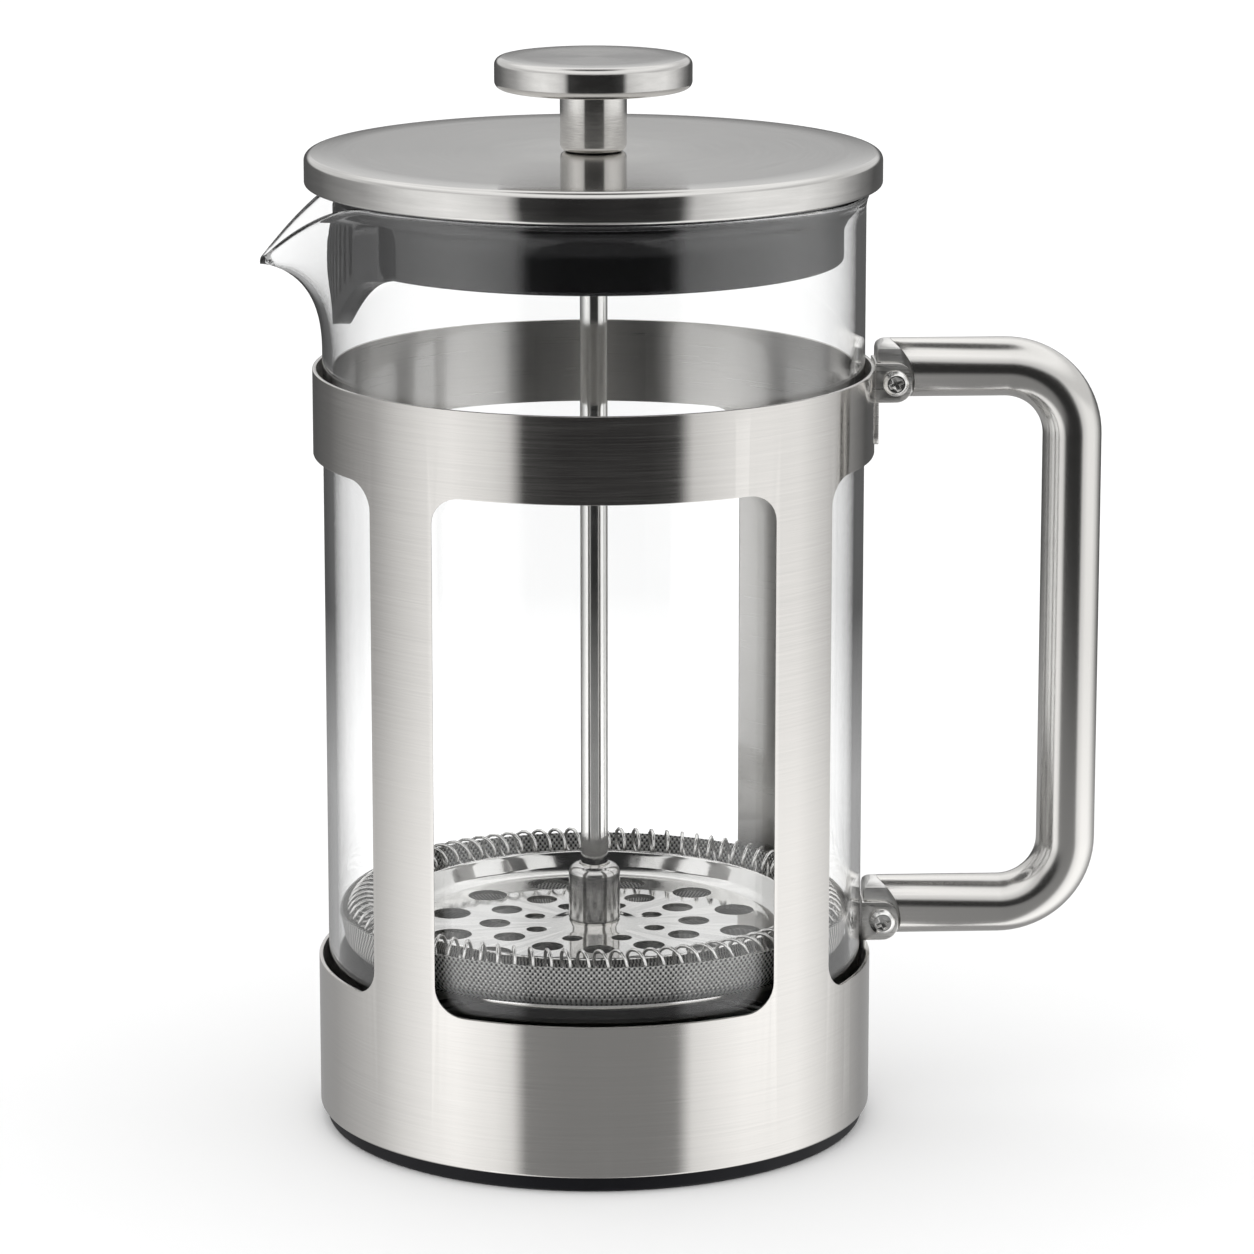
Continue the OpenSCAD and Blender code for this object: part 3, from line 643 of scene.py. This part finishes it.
def buildHandle(settings):
    r, bend, out = settings["radius"], settings["bend"], settings["out"]
    straight = out - bend - settings["start"]
    drop = settings["upper"] - settings["lower"] - 2 * bend
    clearSelection()
    bpy.ops.mesh.primitive_circle_add(vertices=48, radius=r * mm, rotation=(0, math.radians(90), 0),
                                      location=(settings["start"] * mm, 0, settings["upper"] * mm))
    handle = named("handleTube")
    settle(handle)
    bpy.ops.object.mode_set(mode="EDIT")
    bpy.ops.mesh.select_all(action="SELECT")
    bpy.ops.mesh.extrude_region_move(TRANSFORM_OT_translate={"value": (straight * mm, 0, 0)})
    bpy.ops.mesh.spin(steps=20, angle=-math.radians(90), axis=(0, 1, 0),
                      center=((out - bend) * mm, 0, (settings["upper"] - bend) * mm))
    bpy.ops.mesh.extrude_region_move(TRANSFORM_OT_translate={"value": (0, 0, -drop * mm)})
    bpy.ops.mesh.spin(steps=20, angle=-math.radians(90), axis=(0, 1, 0),
                      center=((out - bend) * mm, 0, (settings["lower"] + bend) * mm))
    bpy.ops.mesh.extrude_region_move(TRANSFORM_OT_translate={"value": (-straight * mm, 0, 0)})
    bpy.ops.object.mode_set(mode="OBJECT")
    tidyMesh(handle)
    addModifier(handle, "SOLIDIFY", thickness=settings["wall"] * mm, offset=-1)
    for side in ("upper", "lower"):
        hi = high(side + "_bracket")
        back = hi[0] - 6.6
        middle = hi[2] - 7.3 / 2
        clearSelection()
        bpy.ops.mesh.primitive_cylinder_add(vertices=96, radius=settings["endCut"] * mm, depth=30 * mm,
                                            rotation=(math.radians(90), 0, 0),
                                            location=((back - 2) * mm, 0, middle * mm))
        cutter = named("endCut")
        settle(cutter)
        carve(handle, cutter)
        clearSelection()
        bpy.ops.mesh.primitive_cube_add(size=30 * mm, location=((back - 2 - 15) * mm, 0, settings[side] * mm))
        carve(handle, named("endTrim"))
    bevel(handle, settings["edge"], 2, 40)
    return smooth(handle, 35)


finishPiece(buildHandle(tube), handleSteel, "cage", "handle_tube")
for side in ("upper", "lower"):
    finishPiece(copyNode(side + "_tang", side + "Tang", 0.2), tangSteel, "cage", side + "_tang")
    finishPiece(copyNode(side + "_bracket", side + "Bracket", 0.15), bracketSteel, "cage", side + "_bracket")
finishPiece(copyNode("handle_screws", "handleScrews", 0.1), screwSteel, "cage", "handle_screws")
print("handle made")


beaker = {
    "radius": high("beaker")[1] - 0.57, "wall": 1.75, "bottom": low("beaker")[2], "rim": high("beaker")[2],
    "floor": 2.5, "corner": 6.0, "bead": 1.12, "spoutReach": 10.5, "spoutDrop": 12.2, "spoutReachRound": 28.0,
}


def buildBeaker(settings):
    radius, wall, rim, bottom = settings["radius"], settings["wall"], settings["rim"], settings["bottom"]
    corner, bead = settings["corner"], settings["bead"]
    inner = radius - wall
    heights = [z for z in range(int(bottom + corner + 4), int(rim - 45), 14)]
    heights += [rim - 40 + 1.6 * i for i in range(24)]
    outside = [(radius, z) for z in heights]
    inside = [(inner, z) for z in reversed(heights)]
    profile = [(0, bottom + 0.6), (radius - corner - 8, bottom + 0.6), (radius - corner - 5, bottom)]
    profile += arc(radius - corner, bottom + corner, corner, -90, 0, 10) + outside
    profile += arc(radius - wall + bead, rim - bead, bead, -35, 180, 10) + inside
    floorTop = bottom + settings["floor"]
    profile += arc(inner - corner + wall, floorTop + corner - wall, corner - wall, 0, -90, 8)
    profile += [(0, floorTop)]
    glass = lathe("beakerGlass", profile, 200)
    # pull the spout out of the rim, on the side away from the handle
    bpy.ops.object.mode_set(mode="EDIT")
    bpy.ops.mesh.select_all(action="DESELECT")
    bpy.ops.object.mode_set(mode="OBJECT")
    for vertex in glass.data.vertices:
        x, y, z = vertex.co / mm
        vertex.select = z > rim - 1.3 * bead and x < 0 and abs(y) < 1.7
    bpy.ops.object.mode_set(mode="EDIT")
    bpy.ops.transform.translate(
        value=(-settings["spoutReach"] * mm, 0, -settings["spoutDrop"] * mm), use_proportional_edit=True,
        proportional_edit_falloff="SHARP", proportional_size=settings["spoutReachRound"] * mm)
    bpy.ops.mesh.select_all(action="SELECT")
    bpy.ops.mesh.normals_make_consistent(inside=False)
    bpy.ops.object.mode_set(mode="OBJECT")
    return smooth(glass, 60)


finishPiece(buildBeaker(beaker), beakerGlass, "glass", "beaker")
print("beaker made")


lid = {
    "radius": high("lid_shell")[0], "bottom": low("lid_shell")[2], "top": high("lid_shell")[2],
    "sheet": 0.8, "shoulder": 1.3, "lip": 0.6,
}


def buildLidShell(settings):
    radius, bottom, top, sheet = settings["radius"], settings["bottom"], settings["top"], settings["sheet"]
    shoulder, lip = settings["shoulder"], settings["lip"]
    profile = [(4.1, top), (20, top), (radius - shoulder - 6, top)]
    profile += arc(radius - shoulder, top - shoulder, shoulder, 90, 0, 8)
    profile += arc(radius - lip, bottom + lip, lip, 0, -90, 5)
    profile += [(radius - lip - 0.6, bottom), (radius - lip - 0.6, bottom + 0.5)]
    profile += [(radius - sheet, bottom + 1.2)]
    profile += arc(radius - shoulder, top - shoulder, shoulder - sheet, 0, 90, 5)
    profile += [(4.1, top - sheet)]
    return smooth(lathe("lidShell", profile, 192), 35)


finishPiece(buildLidShell(lid), spunSteel, "lid", "lid_shell")

skirt = {
    "radius": 45.3, "wall": 1.8, "bottom": 161.2, "rim": high("beaker")[2], "seat": 47.2, "deck": 177.3,
    "strainer": 47.1, "tongue": 11.2, "halfWidth": 27.4, "plateau": 5.1, "slots": 17,
    "slotWidth": 1.3, "slotPitch": 2.35,
}


def buildSkirt(settings):
    radius, wall, bottom, rim = settings["radius"], settings["wall"], settings["bottom"], settings["rim"]
    seat = settings["seat"]
    inner = radius - wall
    shellInside = high("lid_liner")[0]
    profile = [(4.1, 179.3), (shellInside - 3, 179.3), (shellInside - 2, 176.9), (shellInside - 0.1, 176.6),
               (shellInside - 0.1, 175.4), (shellInside - 0.9, 175.3), (shellInside - 0.9, rim + 0.1),
               (seat, rim + 0.1), (seat, rim - 1.4)]
    profile += arc(seat - 2.2, rim - 1.4, 2.2, 0, -50, 4) + [(radius + 0.35, rim - 4.6), (radius, rim - 6.5)]
    profile += arc(radius - 0.8, bottom + 0.8, 0.8, 0, -90, 5)
    profile += arc(inner + 0.5, bottom + 0.5, 0.5, -90, -180, 4)
    profile += [(inner, settings["deck"]), (4.1, settings["deck"])]
    piece = lathe("lidSkirt", profile, 160)
    clearSelection()
    half = settings["halfWidth"] - 5
    bpy.ops.mesh.primitive_cube_add(size=1, location=(-45 * mm, 0, (bottom + 4) * mm))
    cutter = named("strainerGap")
    cutter.scale = (16 * mm, 2 * half * mm, 14 * mm)
    settle(cutter)
    carve(piece, cutter)
    return smooth(piece, 35)


def tongueHeight(y, settings):
    # a smooth drop from the skirt's edge to the tongue's tip
    share = (abs(y) - settings["plateau"]) / (settings["halfWidth"] - settings["plateau"])
    share = min(1, max(0, share))
    return settings["bottom"] - settings["tongue"] * (0.5 + 0.5 * math.cos(math.pi * share))


def buildStrainer(settings):
    outer, top = settings["strainer"], settings["rim"] - 1.2
    inner = settings["radius"] - 1.0
    spread = math.degrees(math.asin(settings["halfWidth"] / outer))
    bottom = settings["bottom"] - settings["tongue"] - 1
    profile = [(inner, bottom), (outer, bottom), (outer, top - 2), (outer - 1.2, top), (inner, top)]
    piece = lathe("lidStrainer", profile, 40, 2 * spread, 180 - spread)
    # trim to the tongue's outline
    count = 48
    half = settings["halfWidth"] + 2
    outline = [(-70, -half, bottom - 3)]
    for i in range(count + 1):
        y = -half + 2 * half * i / count
        outline.append((-70, y, tongueHeight(y, settings)))
    outline.append((-70, half, bottom - 3))
    cutter = chain("tongueTrim", outline)
    bpy.ops.object.mode_set(mode="EDIT")
    bpy.ops.mesh.select_all(action="SELECT")
    bpy.ops.mesh.edge_face_add()
    bpy.ops.mesh.extrude_region_move(TRANSFORM_OT_translate={"value": (50 * mm, 0, 0)})
    bpy.ops.object.mode_set(mode="OBJECT")
    tidyMesh(cutter)
    carve(piece, cutter)
    slots = []
    for i in range(settings["slots"]):
        y = (i - (settings["slots"] - 1) / 2) * settings["slotPitch"]
        slotBottom = tongueHeight(y, settings) + 3.4
        slotTop = settings["rim"] - 4
        clearSelection()
        bpy.ops.mesh.primitive_cube_add(size=1, location=(-46 * mm, y * mm, (slotBottom + slotTop) / 2 * mm))
        slot = named("slot")
        slot.scale = (12 * mm, settings["slotWidth"] * mm, (slotTop - slotBottom) * mm)
        settle(slot)
        slots.append(slot)
    carveAll(piece, slots)
    bevel(piece, 0.28, 3, 40)
    return smooth(piece, 35)


finishPiece(buildSkirt(skirt), glossBlack, "lid", "lid_liner")
finishPiece(buildStrainer(skirt), strainerBlack, "lid")
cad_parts["rod_bush"].data.materials.clear()
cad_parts["rod_bush"].data.materials.append(satinBlack)
print("lid made")


knob = {
    "radius": high("knob_cap")[0], "bottom": low("knob_cap")[2], "top": high("knob_cap")[2], "edge": 1.4,
    "socket": 3.65, "socketDeep": 2.8,
}
stem = {
    "radius": high("knob_stem")[0], "bottom": low("knob_stem")[2], "top": low("knob_cap")[2], "edge": 1.2,
    "bore": 2.56, "spigot": 3.6, "spigotTall": 2.7,
}
rod = {
    "radius": high("plunger_rod")[0], "bottom": low("plunger_rod")[2], "top": high("plunger_rod")[2],
    "edge": 0.4,
}


def buildKnob(settings):
    radius, bottom, top, edge = settings["radius"], settings["bottom"], settings["top"], settings["edge"]
    socket, roof = settings["socket"], bottom + settings["socketDeep"]
    profile = [(0, top), (radius - edge - 4, top - 0.02)]
    profile += arc(radius - edge, top - edge - 0.02, edge, 90, 0, 10)
    profile += arc(radius - edge, bottom + edge, edge, 0, -90, 10)
    profile += [(radius - edge - 4, bottom), (socket, bottom), (socket, roof), (0, roof)]
    return smooth(lathe("knobCap", profile, 144), 40)


def buildStem(settings):
    radius, bottom, top, edge = settings["radius"], settings["bottom"], settings["top"], settings["edge"]
    bore, spigot, spigotTop = settings["bore"], settings["spigot"], top + settings["spigotTall"]
    profile = [(bore, bottom), (radius - edge - 1, bottom)]
    profile += arc(radius - edge, bottom + edge, edge, -90, 0, 8)
    profile += [(radius, top - 0.35), (radius - 0.3, top)]
    profile += [(spigot, top), (spigot, spigotTop), (bore, spigotTop)]
    return smooth(lathe("knobStem", profile, 96), 40)


def buildRod(settings):
    radius, bottom, top, edge = settings["radius"], settings["bottom"], settings["top"], settings["edge"]
    profile = [(0, bottom), (radius - edge, bottom), (radius, bottom + edge), (radius, top - edge),
               (radius - edge, top), (0, top)]
    return smooth(lathe("plungerRod", profile, 64), 40)


finishPiece(buildKnob(knob), spunSteel, "plunger", "knob_cap")
finishPiece(buildStem(stem), turnedSteel, "plunger", "knob_stem")
finishPiece(buildRod(rod), brightSteel, "plunger", "plunger_rod")
print("plunger made")


hub = {
    "radius": high("hub")[0], "bottom": 37.1, "top": high("hub")[2], "stud": low("hub")[2], "studRadius": 2,
    "round": 1.8, "edge": 0.3, "bore": 2.55, "boreDeep": 4,
}
plate = {
    "top": 36.3, "flat": 32.5, "rim": high("top_plate")[0], "rimTop": high("top_plate")[2], "sheet": 0.7,
    "rings": [(12, 27.5, 7.4, 15), (12, 18.5, 5.8, 0), (8, 11.8, 3.8, 22.5)],
}
coilRadius = 3.5
coil = {
    "major": high("coil_ring")[0] - coilRadius, "radius": coilRadius, "wire": 0.33,
    "turns": 86, "perTurn": 16, "lean": 0.045,
    "middle": (low("coil_ring")[2] + high("coil_ring")[2]) / 2,
}
screen = {
    "radius": high("mesh_screen")[0], "rim": high("mesh_screen")[2], "bottom": low("mesh_screen")[2],
    "sheet": 0.5,
}


def buildHub(settings):
    radius, bottom, top, edge = settings["radius"], settings["bottom"], settings["top"], settings["edge"]
    stud, studRadius, shoulder = settings["stud"], settings["studRadius"], settings["round"]
    bore, floor = settings["bore"], top - settings["boreDeep"]
    profile = [(0, stud), (studRadius - edge, stud), (studRadius, stud + edge), (studRadius, bottom)]
    profile += [(radius - edge, bottom), (radius, bottom + edge)]
    profile += arc(radius - shoulder, top - shoulder, shoulder, 0, 80, 8)
    profile += [(2.9, top), (2.6, top - 0.4), (bore, floor), (0, floor)]
    return smooth(lathe("filterHub", profile, 80), 40)


def buildPlate(settings):
    top, flat, rim, rimTop = settings["top"], settings["flat"], settings["rim"], settings["rimTop"]
    sheet = settings["sheet"]
    upper = [(2.1, top + 0.8), (4.9, top + 0.8), (6.2, top + 0.45), (8.2, top + 0.05), (9, top)]
    upper += [(flat - 2, top)]
    upper += arc(flat, top + 4, 4, -90, -45, 5) + [(rim - 1.0, top + 3.0), (rim - 0.55, rimTop - 0.4)]
    upper += arc(rim - 0.2, rimTop - 0.3, 0.3, 150, 0, 4)
    lower = [(r + 0.25 * (r > flat), z - sheet) for r, z in reversed(upper[:-5])]
    piece = lathe("filterPlate", upper + [(rim - 0.1, rimTop - 1.2)] + lower, 160)
    punches = []
    for count, ringRadius, size, shift in settings["rings"]:
        for i in range(count):
            a = math.radians(shift + i * 360 / count)
            clearSelection()
            bpy.ops.mesh.primitive_cylinder_add(vertices=32, radius=size / 2 * mm, depth=6 * mm, location=(
                ringRadius * math.cos(a) * mm, ringRadius * math.sin(a) * mm, top * mm))
            punches.append(settle(named("punch")))
    carveAll(piece, punches)
    bevel(piece, 0.18, 3, 50)
    return smooth(piece, 30, True)


def buildCoil(settings):
    # one wire wound round a circle, its end meeting its start
    points = []
    total = settings["turns"] * settings["perTurn"]
    for i in range(total + 1):
        a = 2 * math.pi * i / total
        b = a * settings["turns"]
        a += settings["lean"] * math.cos(b)
        r = settings["major"] + (settings["radius"] - settings["wire"]) * math.cos(b)
        z = settings["middle"] + (settings["radius"] - settings["wire"]) * math.sin(b)
        points.append((r * math.cos(a), r * math.sin(a), z))
    wire = chain("rimSpring", points, True)
    activate(wire)
    bpy.ops.object.convert(target="CURVE")
    wire = bpy.context.object
    wire.data.bevel_depth = settings["wire"] * mm
    wire.data.bevel_resolution = 1
    bpy.ops.object.convert(target="MESH")
    return smooth(tidyMesh(named("rimSpring")), 80)


def buildScreen(settings):
    radius, rim, bottom, sheet = settings["radius"], settings["rim"], settings["bottom"], settings["sheet"]
    outside = [(2.1, bottom), (radius - 4.5, bottom)] + arc(radius - 4.6, bottom + 3.8, 3.8, -85, -12, 6)
    outside += [(radius - 0.35, rim - 1.6), (radius, rim)]
    inside = [(r - sheet * 0.9 if r > 30 else r, z + sheet * (0.1 if z > bottom + 2.5 else 0.95))
              for r, z in reversed(outside[:-1])]
    return smooth(lathe("meshScreen", outside + [(radius - sheet, rim)] + inside, 160), 50)


finishPiece(buildHub(hub), hubSteel, "filter", "hub")
finishPiece(buildPlate(plate), brightSteel, "filter", "top_plate")
finishPiece(buildCoil(coil), springSteel, "filter", "coil_ring")
finishPiece(buildScreen(screen), screenWire, "filter", "mesh_screen")
for name in ("cross_plate", "filter_nut"):
    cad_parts[name].data.materials.clear()
    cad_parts[name].data.materials.append(brightSteel)
print("filter made")
